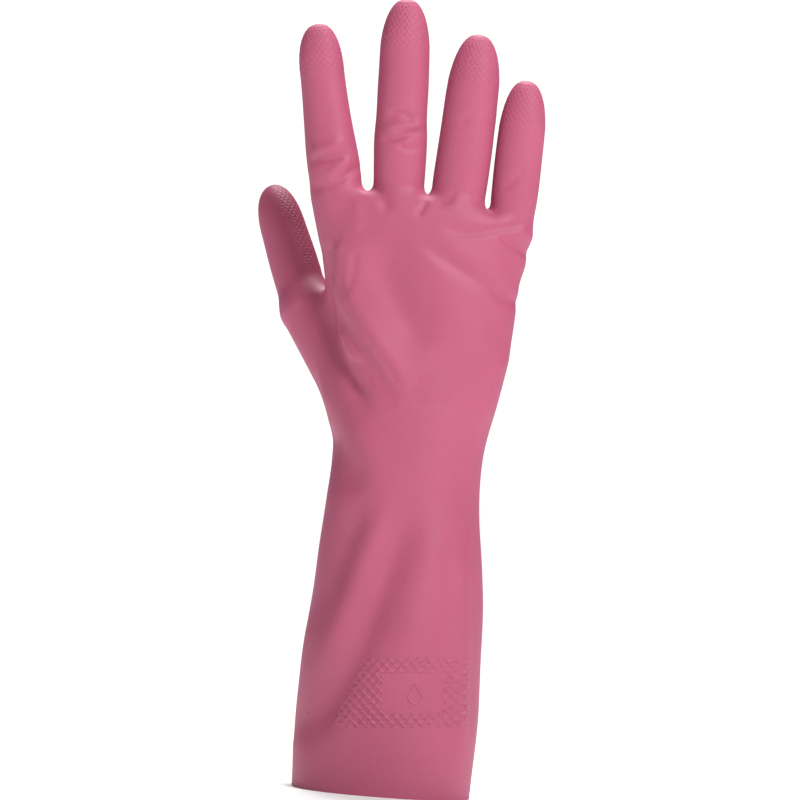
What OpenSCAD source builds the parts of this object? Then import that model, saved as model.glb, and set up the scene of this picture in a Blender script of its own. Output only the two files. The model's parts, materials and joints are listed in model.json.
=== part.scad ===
// Household rubber glove, right hand: a dipped latex shell with a flock lining.
// Millimetres. Z runs from the cut hem to the fingertips, Y to the palm side,
// -X to the thumb. The origin is the centre of the arm opening, in the hem's plane.

/* [Cuff] */
// Length of the cuff, from its hem to the wrist crease
cuff_len = 121; // [100:1:150]
// Width across the hem
hem_w = 68.8; // [62:0.2:84]
// Depth of the arm opening at the hem, palm side to back
hem_d = 72; // [62:1:86]
// Greatest width of the cuff, a little above the hem
cuff_w = 70.8; // [64:0.2:86]
// Greatest depth of the cuff
cuff_d = 73; // [64:1:88]
// Width at the wrist crease
wrist_w = 58.4; // [52:0.2:70]
// Depth at the wrist crease
wrist_d = 54; // [46:1:66]

/* [Hand] */
// Length of the hand, from the wrist crease to the forks between the fingers
hand_len = 109; // [95:1:131]
// Thickness of the hand at mid palm
palm_d = 36; // [30:1:44]
// How far the row of fingers sits towards the thumb side
finger_row_shift = 2.1; // [0:0.1:6]
// How far the finger hinges lie above the forks
fork_to_hinge = 6; // [6:0.5:8]

/* [Fingers] */
// Width of the index finger at its root
index_w = 21; // [17:0.2:25.2]
// Width of the middle finger at its root
middle_w = 20; // [17:0.2:24]
// Width of the ring finger at its root
ring_w = 21.2; // [17:0.2:25]
// Width of the little finger at its root
little_w = 18.4; // [15:0.2:22]
// Length of the index finger from its root hinge to its tip
index_len = 58; // [50:1:70]
// Length of the middle finger from its root hinge to its tip
middle_len = 68.8; // [60:0.2:82]
// Length of the ring finger from its root hinge to its tip
ring_len = 57.2; // [50:0.2:69]
// Length of the little finger from its root hinge to its tip
little_len = 45.8; // [41:0.2:55]
// Thickness of a finger as a share of its width
finger_flatness = 0.9; // [0.8:0.01:1]

/* [Thumb] */
// Width of the thumb at its root hinge
thumb_w = 20.4; // [17:0.2:24]
// Length of the thumb from its root hinge to its tip
thumb_len = 44; // [38:1:53]
// Angle between the thumb and the hand's length, seen from the back
thumb_lean = 20.7; // [16:0.1:26]
// Angle by which the thumb points to the palm side
thumb_tilt = 24; // [20:1:30]

/* [Material] */
// Thickness of the latex wall
latex_wall = 0.5; // [0.4:0.05:0.8]
// Thickness of the cotton flock lining
flock_depth = 0.4; // [0.3:0.05:0.6]
// Thickness of the adhesive that holds the flock to the latex
adhesive = 0.05; // [0.05:0.01:0.1]

/* [Bending] */
// Clearance between two segments across a bend
bend_gap = 0.4; // [0.3:0.05:1]
// How far the hand bends to the palm at the wrist
wrist_flex = 45; // [10:1:50]
// How far the hand bends back at the wrist
wrist_extend = 30; // [5:1:40]
// How far a finger bends to the palm at its root
root_flex = 60; // [10:1:65]
// How far a finger bends back at its root
root_extend = 10; // [0:1:15]
// How far a finger bends at its middle joint
middle_flex = 75; // [10:1:75]
// How far a finger bends at its last joint
tip_flex = 40; // [10:1:45]
// How far the thumb swings across the palm at its root
thumb_flex = 35; // [10:1:35]
// How far the thumb swings away from the palm
thumb_open = 10; // [0:1:15]
// How far the thumb's tip bends
thumb_tip_flex = 45; // [10:1:50]

/* [Hidden] */

latex_pink = "#C4628A";
flock_white = "#F1E6E6";

// Facets round a finger, and round the hand and the cuff
finger_sides = 16;
body_sides = 24;
// Exponent of the cross sections: 2 is an ellipse, and more is squarer
finger_squareness = 2.2;
body_squareness = 2.3;
// How far lofts that meet at a hinge or at the wrist run into each other
overlap = 4;
// Steps in degrees up the dome of a fingertip
dome_steps = [22.5, 45, 67.5, 85];
// The dome's height as a share of the half width below it
dome_height = 1.6;
// How far the hinge axis lies to the palm side, as a share of the half depth
hinge_offset = 0.2;
// How far the inner lofts run past an open end
through = 1;

// A layer is the inset of its outer surface and of its inner one
SHELL = [0, latex_wall];
LINING = [latex_wall + adhesive, latex_wall + adhesive + flock_depth];

// ---- where the fingers stand ----
// Clear gaps between the roots: index to middle, middle to ring, ring to little
fork_gap = [4.4, 2.9, 1.4];
row_w = index_w + middle_w + ring_w + little_w + fork_gap[0] + fork_gap[1] + fork_gap[2];
row_left = -row_w / 2 - finger_row_shift;
row_right = row_left + row_w;
index_x = row_left + index_w / 2;
middle_x = index_x + (index_w + middle_w) / 2 + fork_gap[0];
ring_x = middle_x + (middle_w + ring_w) / 2 + fork_gap[1];
little_x = ring_x + (ring_w + little_w) / 2 + fork_gap[2];
fork_z = cuff_len + hand_len;
// The little finger's root lies this much lower than the others
little_drop = 5;

// The index finger is rolled a little, so that it curls clear of the thumb
index_roll = -8;
// A digit is: root hinge centre, direction angles [lean, tilt, roll], length,
// shares of the length at its inner hinges, root width, and widths as shares of
// the root width at the middle of each segment, with the last one below the dome
INDEX = [[index_x, -0.5, fork_z + fork_to_hinge], [-11, 0, index_roll], index_len,
    [0.24, 0.62], index_w, [0.95, 0.85, 0.8]];
MIDDLE = [[middle_x, -1, fork_z + fork_to_hinge], [-2, 0, 0], middle_len,
    [0.3, 0.66], middle_w, [1.03, 1.01, 0.95]];
RING = [[ring_x, -0.5, fork_z + fork_to_hinge], [3.4, 0, 0], ring_len,
    [0.31, 0.68], ring_w, [1.01, 0.98, 0.92]];
LITTLE = [[little_x, 0.5, fork_z + fork_to_hinge - little_drop], [1.6, 0, 0], little_len,
    [0.28, 0.64], little_w, [1.01, 0.97, 0.86]];
// The thumb's root hinge: how far to the thumb side as a share of the finger row,
// how far to the palm side, and how high as a share of the hand's length
thumb_side = 0.5218;
thumb_front = 23;
thumb_height = 0.656;
thumb_root = [-thumb_side * row_w, thumb_front, cuff_len + thumb_height * hand_len];
// How far the thumb's own axis is rolled, so that it bends across the palm
thumb_roll = -55;
THUMB = [thumb_root, [-thumb_lean, thumb_tilt, thumb_roll], thumb_len,
    [0.4], thumb_w, [0.96, 0.84]];

// ---- sections ----
function power(v, e) = sign(v) * pow(abs(v), 2 / e);
// One closed section at height z: half width, depth to the back and to the palm
function section(half_w, back, palm, z, sides, squareness, centre = 0) = [
    for (i = [0 : sides - 1])
        let (c = cos(360 * i / sides), s = sin(360 * i / sides))
        [centre + half_w * power(c, squareness),
         (s > 0 ? palm : back) * power(s, squareness), z]];

// One convex stretch between two sections of the same number of sides
module stretch(low, high) {
    n = len(low);
    sides = [for (i = [0 : n - 1]) each [[i, (i + 1) % n, n + i],
        [(i + 1) % n, n + (i + 1) % n, n + i]]];
    hull() polyhedron(points = concat(low, high),
        faces = concat([[for (i = [0 : n - 1]) i]], sides, [[for (i = [0 : n - 1]) 2 * n - 1 - i]]));
}
module loft(sections) {
    for (i = [0 : len(sections) - 2]) stretch(sections[i], sections[i + 1]);
}

// ---- digits, each in its own frame: hinge at the origin, length along Z ----
function hinge_at(d, k) = k == 0 ? 0 : d[3][k - 1] * d[2];
function hinge_y(d, k) = hinge_offset * digit_half(d, hinge_at(d, k)) * finger_flatness;
function dome_of(d) = dome_height * d[5][len(d[5]) - 1] * d[4] / 2;
function segment_mid(d, k) = k < len(d[3]) ? (hinge_at(d, k) + hinge_at(d, k + 1)) / 2
    : d[2] - dome_of(d);
function digit_half(d, z) = d[4] / 2 * lookup(z, concat([[0, 1]],
    [for (k = [0 : len(d[3])]) [segment_mid(d, k), d[5][k]]]));
function digit_section(half, z) = section(half, half * finger_flatness,
    half * finger_flatness, z, finger_sides, finger_squareness);

module in_frame(d) {
    translate(d[0]) rotate([0, d[1][0], 0]) rotate([-d[1][1], 0, 0])
        rotate([0, 0, d[1][2]]) children();
}
// The whole digit, inset from its outer surface, from below its root to its tip
module digit_solid(d, inset) {
    top = d[2] - dome_of(d);
    dome_half = digit_half(d, top) - inset;
    body = [for (z = concat([-overlap], [for (k = [0 : len(d[3])]) segment_mid(d, k)]))
        digit_section(digit_half(d, z) - inset, z)];
    dome = [for (a = dome_steps)
        digit_section(dome_half * cos(a), top + (dome_of(d) - inset) * sin(a))];
    loft(concat(body, dome));
}

// ---- bends: the wedges cut away so that two segments clear each other ----
// Everything below a bend's upper faces
module under_bend(y, flex, extend, reach) {
    half_gap = bend_gap / 2;
    rotate([90, 0, 90]) linear_extrude(2 * reach, center = true)
        polygon([[y, half_gap], [y + reach, half_gap + reach * tan(flex / 2)],
            [y + reach, -reach], [y - reach, -reach],
            [y - reach, half_gap + reach * tan(extend / 2)]]);
}
module over_bend(y, flex, extend, reach) {
    mirror([0, 0, 1]) under_bend(y, flex, extend, reach);
}
function flex_at(d, k) = k == 0 ? (is_thumb(d) ? thumb_flex : root_flex)
    : is_thumb(d) ? thumb_tip_flex : k == 1 ? middle_flex : tip_flex;
function extend_at(d, k) = k > 0 ? 0 : is_thumb(d) ? thumb_open : root_extend;
function is_thumb(d) = len(d[3]) == 1;

// Segment k of a digit, as a layer of the glove
module segment(d, k, layer) {
    in_frame(d) difference() {
        digit_solid(d, layer[0]);
        digit_solid(d, layer[1]);
        translate([0, 0, hinge_at(d, k)])
            under_bend(hinge_y(d, k), flex_at(d, k), extend_at(d, k), d[4] + overlap);
        translate([0, 0, hinge_at(d, k)]) floor_block(d);
        if (k < len(d[3])) translate([0, 0, hinge_at(d, k + 1)]) {
            over_bend(hinge_y(d, k + 1), flex_at(d, k + 1), 0, d[4] + overlap);
            mirror([0, 0, 1]) floor_block(d);
        }
    }
}
// Clears what lies further off than the bend's wedge reaches
module floor_block(d) {
    translate([-d[2], -d[2], -2 * d[2] - d[4]]) cube(2 * d[2]);
}

// ---- hand ----
// Rows up the hand: share of its length, then the shares of the way from the
// wrist's edge to the finger row's edge on the thumb side and on the other side,
// then the depths to the back and to the palm as shares of half the palm's depth
hand_rows = [
    [0.13, 0.03, 0.03, 1.4, 1.42],
    [0.27, 0.1, 0.3, 1.24, 1.36],
    [0.41, 0.2, 0.47, 1.13, 1.26],
    [0.55, 0.42, 0.6, 1.05, 1.12],
    [0.68, 0.55, 0.67, 1, 1],
    [0.79, 0.66, 0.74, 0.93, 0.92],
    [0.89, 0.76, 0.88, 0.82, 0.8],
    [0.97, 0.9, 0.96, 0.66, 0.62],
    [1, 0.82, 0.9, 0.4, 0.36]];
function hand_section(r, inset) =
    let (left = -wrist_w / 2 + r[1] * (row_left + wrist_w / 2),
         right = wrist_w / 2 + r[2] * (row_right - wrist_w / 2))
    section((right - left) / 2 - inset, r[3] * palm_d / 2 - inset, r[4] * palm_d / 2 - inset,
        cuff_len + r[0] * hand_len - (r[0] == 1 ? inset : 0), body_sides, body_squareness,
        (left + right) / 2);
function wrist_section(z, inset) = section(wrist_w / 2 - inset, wrist_d / 2 - inset,
    wrist_d / 2 - inset, z, body_sides, body_squareness);

// Roots of the four fingers, from inside the hand to a little above their hinges
root_depth = 20.5;
// Width of a root at its lower end, as a share of its width at the hinge
root_taper = 0.7;
module finger_root(d, inset) {
    half = digit_half(d, 0);
    in_frame(d) loft([
        digit_section(half * root_taper - inset, -root_depth),
        digit_section(half - inset, -fork_to_hinge),
        digit_section(half - inset, overlap)]);
}
// Ball of the thumb: from a round heel inside the palm to a little above the hinge.
// The heel's radius, facets, and distances to the palm side, to the thumb side as a
// share of the wrist's width, and up the hand as a share of its length
heel_r = 13;
heel_sides = 12;
heel_front = 4;
heel_side = 0.31;
heel_height = 0.25;
// Where the ball's straight part starts below the hinge, and its width there
ball_low = -16;
ball_swell = 1.04;
module heel(x, z, inset) {
    translate([x, heel_front, z]) sphere(r = heel_r - inset, $fn = heel_sides);
}
module thumb_root_solid(inset) {
    half = digit_half(THUMB, 0);
    hull() {
        in_frame(THUMB) stretch(digit_section(half * root_taper - inset, ball_low - through),
            digit_section(half * ball_swell - inset, ball_low));
        heel(-heel_side * wrist_w, cuff_len + heel_height * hand_len, inset);
    }
    in_frame(THUMB) loft([digit_section(half * root_taper - inset, ball_low - overlap),
        digit_section(half * ball_swell - inset, ball_low),
        digit_section(half - inset, 0), digit_section(half - inset, overlap)]);
}
// Web of latex between the ball of the thumb and the side of the palm: its low and
// high ends along the thumb with their widths, and its end inside the palm
web_low = ball_low - 6;
web_low_swell = 0.9;
web_high = ball_low + 7;
web_high_swell = 0.85;
web_in = 21;
web_height = 0.62;
module thumb_web(inset) {
    half = digit_half(THUMB, 0);
    hull() {
        in_frame(THUMB) stretch(digit_section(half * web_low_swell - inset, web_low),
            digit_section(half * web_high_swell - inset, web_high));
        heel(row_left + web_in, cuff_len + web_height * hand_len, inset);
    }
}
module hand_solid(inset) {
    loft(concat([wrist_section(cuff_len - overlap, inset), wrist_section(cuff_len, inset)],
        [for (r = hand_rows) hand_section(r, inset)]));
    for (d = [INDEX, MIDDLE, RING, LITTLE]) finger_root(d, inset);
    thumb_root_solid(inset);
    thumb_web(inset);
}
// How far the cut at a root runs past the digit's sides: a finger's, and the thumb's
finger_margin = 0.6;
thumb_margin = 3;
module root_cut(d, half_w) {
    in_frame(d) intersection() {
        over_bend(hinge_y(d, 0), flex_at(d, 0), extend_at(d, 0), d[4]);
        cube([2 * half_w, 4 * half_w, 2 * d[4]], center = true);
    }
}
module hand(layer) {
    difference() {
        hand_solid(layer[0]);
        hand_solid(layer[1]);
        translate([0, 0, cuff_len])
            under_bend(hinge_offset * wrist_d / 2, wrist_flex, wrist_extend, wrist_w);
        for (d = [INDEX, MIDDLE, RING, LITTLE]) root_cut(d, d[4] / 2 + finger_margin);
        root_cut(THUMB, thumb_w / 2 + thumb_margin);
    }
}

// ---- cuff ----
// Rows up the cuff above its widest place: share of its length, and share of the
// way from the wrist's size to the cuff's greatest size. The hem's own band is straight.
hem_band = 0.02;
cuff_rows = [[0.22, 1], [0.36, 0.96], [0.5, 0.8], [0.64, 0.62], [0.75, 0.43], [0.87, 0.14], [1, 0]];
function cuff_section(w, d, z, inset) =
    section(w / 2 - inset, d / 2 - inset, d / 2 - inset, z, body_sides, body_squareness);
module cuff_solid(inset, below) {
    loft(concat(
        [cuff_section(hem_w, hem_d, -below, inset), cuff_section(hem_w, hem_d, hem_band * cuff_len, inset)],
        [for (r = cuff_rows) cuff_section(wrist_w + r[1] * (cuff_w - wrist_w),
            wrist_d + r[1] * (cuff_d - wrist_d), r[0] * cuff_len, inset)],
        [cuff_section(wrist_w, wrist_d, cuff_len + overlap, inset)]));
}
module cuff(layer) {
    difference() {
        cuff_solid(layer[0], 0);
        cuff_solid(layer[1], through);
        translate([0, 0, cuff_len])
            over_bend(hinge_offset * wrist_d / 2, wrist_flex, wrist_extend, wrist_w);
    }
}

// ---- the sub-parts ----
module cuff_shell() { color(latex_pink) cuff(SHELL); }
module cuff_lining() { color(flock_white) cuff(LINING); }
module hand_shell() { color(latex_pink) hand(SHELL); }
module hand_lining() { color(flock_white) hand(LINING); }
module index_base_shell() { color(latex_pink) segment(INDEX, 0, SHELL); }
module index_base_lining() { color(flock_white) segment(INDEX, 0, LINING); }
module index_middle_shell() { color(latex_pink) segment(INDEX, 1, SHELL); }
module index_middle_lining() { color(flock_white) segment(INDEX, 1, LINING); }
module index_tip_shell() { color(latex_pink) segment(INDEX, 2, SHELL); }
module index_tip_lining() { color(flock_white) segment(INDEX, 2, LINING); }
module middle_base_shell() { color(latex_pink) segment(MIDDLE, 0, SHELL); }
module middle_base_lining() { color(flock_white) segment(MIDDLE, 0, LINING); }
module middle_middle_shell() { color(latex_pink) segment(MIDDLE, 1, SHELL); }
module middle_middle_lining() { color(flock_white) segment(MIDDLE, 1, LINING); }
module middle_tip_shell() { color(latex_pink) segment(MIDDLE, 2, SHELL); }
module middle_tip_lining() { color(flock_white) segment(MIDDLE, 2, LINING); }
module ring_base_shell() { color(latex_pink) segment(RING, 0, SHELL); }
module ring_base_lining() { color(flock_white) segment(RING, 0, LINING); }
module ring_middle_shell() { color(latex_pink) segment(RING, 1, SHELL); }
module ring_middle_lining() { color(flock_white) segment(RING, 1, LINING); }
module ring_tip_shell() { color(latex_pink) segment(RING, 2, SHELL); }
module ring_tip_lining() { color(flock_white) segment(RING, 2, LINING); }
module little_base_shell() { color(latex_pink) segment(LITTLE, 0, SHELL); }
module little_base_lining() { color(flock_white) segment(LITTLE, 0, LINING); }
module little_middle_shell() { color(latex_pink) segment(LITTLE, 1, SHELL); }
module little_middle_lining() { color(flock_white) segment(LITTLE, 1, LINING); }
module little_tip_shell() { color(latex_pink) segment(LITTLE, 2, SHELL); }
module little_tip_lining() { color(flock_white) segment(LITTLE, 2, LINING); }
module thumb_base_shell() { color(latex_pink) segment(THUMB, 0, SHELL); }
module thumb_base_lining() { color(flock_white) segment(THUMB, 0, LINING); }
module thumb_tip_shell() { color(latex_pink) segment(THUMB, 1, SHELL); }
module thumb_tip_lining() { color(flock_white) segment(THUMB, 1, LINING); }

cuff_shell();
cuff_lining();
hand_shell();
hand_lining();
index_base_shell();
index_base_lining();
index_middle_shell();
index_middle_lining();
index_tip_shell();
index_tip_lining();
middle_base_shell();
middle_base_lining();
middle_middle_shell();
middle_middle_lining();
middle_tip_shell();
middle_tip_lining();
ring_base_shell();
ring_base_lining();
ring_middle_shell();
ring_middle_lining();
ring_tip_shell();
ring_tip_lining();
little_base_shell();
little_base_lining();
little_middle_shell();
little_middle_lining();
little_tip_shell();
little_tip_lining();
thumb_base_shell();
thumb_base_lining();
thumb_tip_shell();
thumb_tip_lining();
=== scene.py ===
"""Household rubber glove: the dipped latex skin, its flock lining, and a plain studio.

Everything in a form is in millimetres until it goes into a mesh, which is in metres.
"""

import json
import math

import bpy
import numpy as np
from mathutils import Matrix


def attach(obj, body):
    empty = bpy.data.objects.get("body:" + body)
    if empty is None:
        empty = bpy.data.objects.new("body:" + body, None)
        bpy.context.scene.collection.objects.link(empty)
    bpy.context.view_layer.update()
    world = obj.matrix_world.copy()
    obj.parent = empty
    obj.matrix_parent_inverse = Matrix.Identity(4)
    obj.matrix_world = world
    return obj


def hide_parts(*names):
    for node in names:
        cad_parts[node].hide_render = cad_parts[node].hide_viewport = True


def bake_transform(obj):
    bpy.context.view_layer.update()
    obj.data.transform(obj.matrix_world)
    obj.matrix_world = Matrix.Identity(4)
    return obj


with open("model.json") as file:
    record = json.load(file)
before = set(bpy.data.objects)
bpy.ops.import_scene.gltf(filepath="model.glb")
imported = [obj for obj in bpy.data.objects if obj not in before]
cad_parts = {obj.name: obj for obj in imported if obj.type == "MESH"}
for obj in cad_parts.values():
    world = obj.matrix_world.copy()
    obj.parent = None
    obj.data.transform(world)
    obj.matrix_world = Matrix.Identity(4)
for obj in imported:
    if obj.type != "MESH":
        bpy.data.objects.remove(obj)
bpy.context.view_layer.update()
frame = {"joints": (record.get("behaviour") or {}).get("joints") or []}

bl_info = {
    "name": "Rubber glove",
    "version": (1, 0, 0),
    "blender": (4, 5, 0),
    "location": "View3D > Sidebar > Glove",
    "description": "Builds a flock-lined latex glove on its jointed frame",
    "category": "Object",
}

MM = 0.001
JOINTS = {j["name"]: j for j in frame["joints"]}


# ---------------------------------------------------------------- small tools
def smooth_min(a, b, k):
    """The lesser of two fields, rounded over a width k where they cross."""
    h = np.clip(0.5 + 0.5 * (b - a) / k, 0, 1)
    return b + (a - b) * h - k * h * (1 - h)


def smooth_max(a, b, k):
    return -smooth_min(-a, -b, k)


def ease(x, low, high):
    """0 below low, 1 above high, and an S-shaped rise between them."""
    t = np.clip((x - low) / (high - low), 0, 1)
    return t * t * (3 - 2 * t)


def bell(x, width):
    return np.exp(-((x / width) ** 2))


def rounded_table(rows, spread, step):
    """Values by height: straight lines between the rows, then a bell-shaped running average."""
    rows = np.array(rows, float)
    at = np.arange(rows[0, 0], rows[-1, 0] + step, step)
    reach = np.arange(-3 * spread, 3 * spread + step, step)
    weight = np.exp(-0.5 * (reach / spread) ** 2)
    weight /= weight.sum()
    pad = len(reach) // 2
    lines = [np.pad(np.interp(at, rows[:, 0], c), pad, mode="reflect", reflect_type="odd") for c in rows[:, 1:].T]
    return at, [np.convolve(line, weight, "valid") for line in lines]


# ---------------------------------------------------------------- the hand-shaped form
# Rows up the arm and the palm: height, thumb-side edge, other edge, depth to the back,
# depth to the palm
ARM_ROWS = [
    (-8, -34.2, 34.2, 36.0, 36.0), (2, -34.3, 34.2, 36.0, 36.0), (14, -35.0, 35.1, 36.3, 36.3),
    (28, -35.2, 35.6, 36.4, 36.4), (50, -34.4, 34.8, 35.6, 35.6), (75, -32.4, 34.0, 33.2, 33.2),
    (92, -31.2, 32.2, 30.6, 30.4), (106, -30.1, 29.8, 28.4, 28.2), (116, -29.3, 28.9, 27.3, 27.2),
    (128, -28.8, 28.9, 26.4, 26.4), (136, -29.2, 29.4, 25.4, 25.6), (150, -31.0, 32.7, 23.3, 24.6),
    (165, -33.0, 35.4, 21.2, 23.2), (180, -35.2, 37.1, 19.6, 21.2), (195, -37.8, 38.0, 18.4, 18.8),
    (207, -39.4, 38.0, 17.2, 16.4), (217, -41.0, 39.6, 15.6, 14.4), (226, -43.2, 41.0, 13.4, 12.4),
    (240, -46.2, 42.6, 11.0, 10.6),
]
ARM_AT, ARM = rounded_table(ARM_ROWS, 5, 1)
ARM_SQUARENESS = 2.3


def arm_form(p):
    """Cuff, wrist and palm: a superellipse at each height. Nearly the distance to it,
    and negative inside."""
    left, right, back, palm = (np.interp(p[..., 2], ARM_AT, c) for c in ARM)
    half = (right - left) / 2
    depth = np.where(p[..., 1] < 0, back, palm)
    x, y = (p[..., 0] - (left + right) / 2) / half, p[..., 1] / depth
    r = (np.abs(x) ** ARM_SQUARENESS + np.abs(y) ** ARM_SQUARENESS + 1e-12) ** (1 / ARM_SQUARENESS)
    return (r - 1) * np.hypot(x * half, y * depth) / np.maximum(r, 1e-6)


def fork_height(x):
    """Height of the forks between the fingers: level, and lower by the little finger."""
    return 229.6 - 4.6 * np.clip((x - 11) / 14, 0, 1) - 3.0 * np.clip((x - 25) / 12, 0, 1)


class Digit:
    """A finger or the thumb, in its own frame: hinge of its root at 0, length along z,
    palm side at +y."""

    # How square it is across and along, and how long its rounded low end is
    ACROSS, ALONG, LOW_END = 2.15, 2.3, 6

    def __init__(self, name, turn, length, widths, dome, root="root_bend", bow=0.0, flat=0.9):
        self.name, self.len, self.dome, self.bow, self.flat = name, length, dome, bow, flat
        lean, tilt, roll = (math.radians(a) for a in turn)
        turned = Matrix.Rotation(lean, 3, "Y") @ Matrix.Rotation(-tilt, 3, "X") @ Matrix.Rotation(roll, 3, "Z")
        self.turn = np.array(turned)
        self.at, (self.half,) = rounded_table(widths, 2.5, 0.5)
        # the hinge lies to the palm side of the middle, by a fifth of the half depth
        lift = 0.2 * np.interp(0, *zip(*widths)) * flat
        self.origin = np.array(JOINTS[f"{name}_{root}"]["pos_m"]) / MM - self.turn @ np.array((0, lift, 0))

    def local(self, p):
        return (p - self.origin) @ self.turn

    def world(self, q):
        return q @ self.turn.T + self.origin

    def width_at(self, s):
        return np.interp(s, self.at, self.half)

    def form(self, p):
        """A flattened tube that tapers by its table, closed by a dome from a given height."""
        q = self.local(p)
        s, w = q[..., 2], self.width_at(q[..., 2])
        x = (q[..., 0] - self.bow * np.sin(np.pi * np.clip(s / self.len, 0, 1))) / w
        y = q[..., 1] / (w * self.flat)
        rise = self.len - self.dome
        t = np.maximum(s - self.dome, 0) / rise
        low = np.maximum(self.at[0] + self.LOW_END - s, 0) / self.LOW_END
        flatwise = (np.abs(x) ** self.ACROSS + np.abs(y) ** self.ACROSS) ** (self.ALONG / self.ACROSS)
        r = (flatwise + t**self.ALONG + low**2 + 1e-12) ** (1 / self.ALONG)
        reach = np.sqrt((x * w) ** 2 + (y * w * self.flat) ** 2 + (t * rise) ** 2 + (low * self.LOW_END) ** 2)
        return (r - 1) * reach / np.maximum(r, 1e-6)


# Name, turn in degrees (lean, tilt, roll), length, half widths by height, where the dome starts
INDEX = Digit(
    "index", (-11, 0, -8), 58.0,
    [(-30, 6.4), (-14, 8.8), (0, 10.2), (9, 9.9), (19, 9.2), (30, 8.7), (40, 8.5), (60, 8.4)], 40, bow=-0.6,
)
MIDDLE = Digit(
    "middle", (-2, 0, 0), 69.1,
    [(-30, 7.6), (-14, 9.4), (0, 9.9), (9, 10.2), (15, 10.3), (24, 9.7), (36, 9.8), (44, 9.6), (70, 9.6)], 44,
)
RING = Digit(
    "ring", (3.2, 0, 0), 57.7,
    [(-30, 7.6), (-14, 10), (0, 10.6), (14, 10.5), (30, 10.2), (60, 10.0)], 31, bow=0.1,
)
LITTLE = Digit(
    "little", (1.8, 0, 0), 46.3,
    [(-30, 5.6), (-16, 7.2), (-6, 8.5), (0, 9.0), (12, 9.1), (22, 9.0), (50, 8.8)], 22, bow=0.1,
)
THUMB = Digit(
    "thumb", (-21.3, 24, -55), 44.2,
    [(-16, 9.9), (0, 10.0), (12, 9.9), (24, 9.3), (50, 9.0)], 24, root="root_swing",
)
FINGERS = [INDEX, MIDDLE, RING, LITTLE]
DIGITS = FINGERS + [THUMB]
# Ball of the thumb: from the heel of the hand to below the thumb's hinge
HEEL, HEEL_R = np.array((-19.0, 5.0, 149.5)), 12.5
BALL, BALL_R = np.array((-41.8, 18.5, 183.0)), 11.5
# Widths over which neighbouring forms run into each other
ROUND_FORK_EDGE, ROUND_BETWEEN, ROUND_ROOTS, ROUND_BALL, ROUND_THUMB = 7, 1.2, 5, 4, 8


def round_cone(p, a, b, ra, rb):
    """Distance to a bar whose radius goes evenly from ra at a to rb at b."""
    t = np.clip(((p - a) @ (b - a)) / ((b - a) @ (b - a)), 0, 1)
    return np.linalg.norm(p - a - t[..., None] * (b - a), axis=-1) - (ra + (rb - ra) * t)


def glove_form(p):
    """The whole worn glove: palm, fingers, ball and thumb run together with rounded valleys."""
    palm = smooth_max(arm_form(p), p[..., 2] - fork_height(p[..., 0]), ROUND_FORK_EDGE)
    fingers = FINGERS[0].form(p)
    for d in FINGERS[1:]:
        fingers = smooth_min(fingers, d.form(p), ROUND_BETWEEN)
    thumb = smooth_min(THUMB.form(p), round_cone(p, HEEL, BALL, HEEL_R, BALL_R), ROUND_BALL)
    return smooth_min(smooth_min(palm, fingers, ROUND_ROOTS), thumb, ROUND_THUMB)


def slope(f, p, reach=0.05):
    """How a field changes along x, y and z, from steps forward."""
    here = f(p)
    return here, np.stack([(f(p + reach * e) - here) / reach for e in np.eye(3)], -1)


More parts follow.
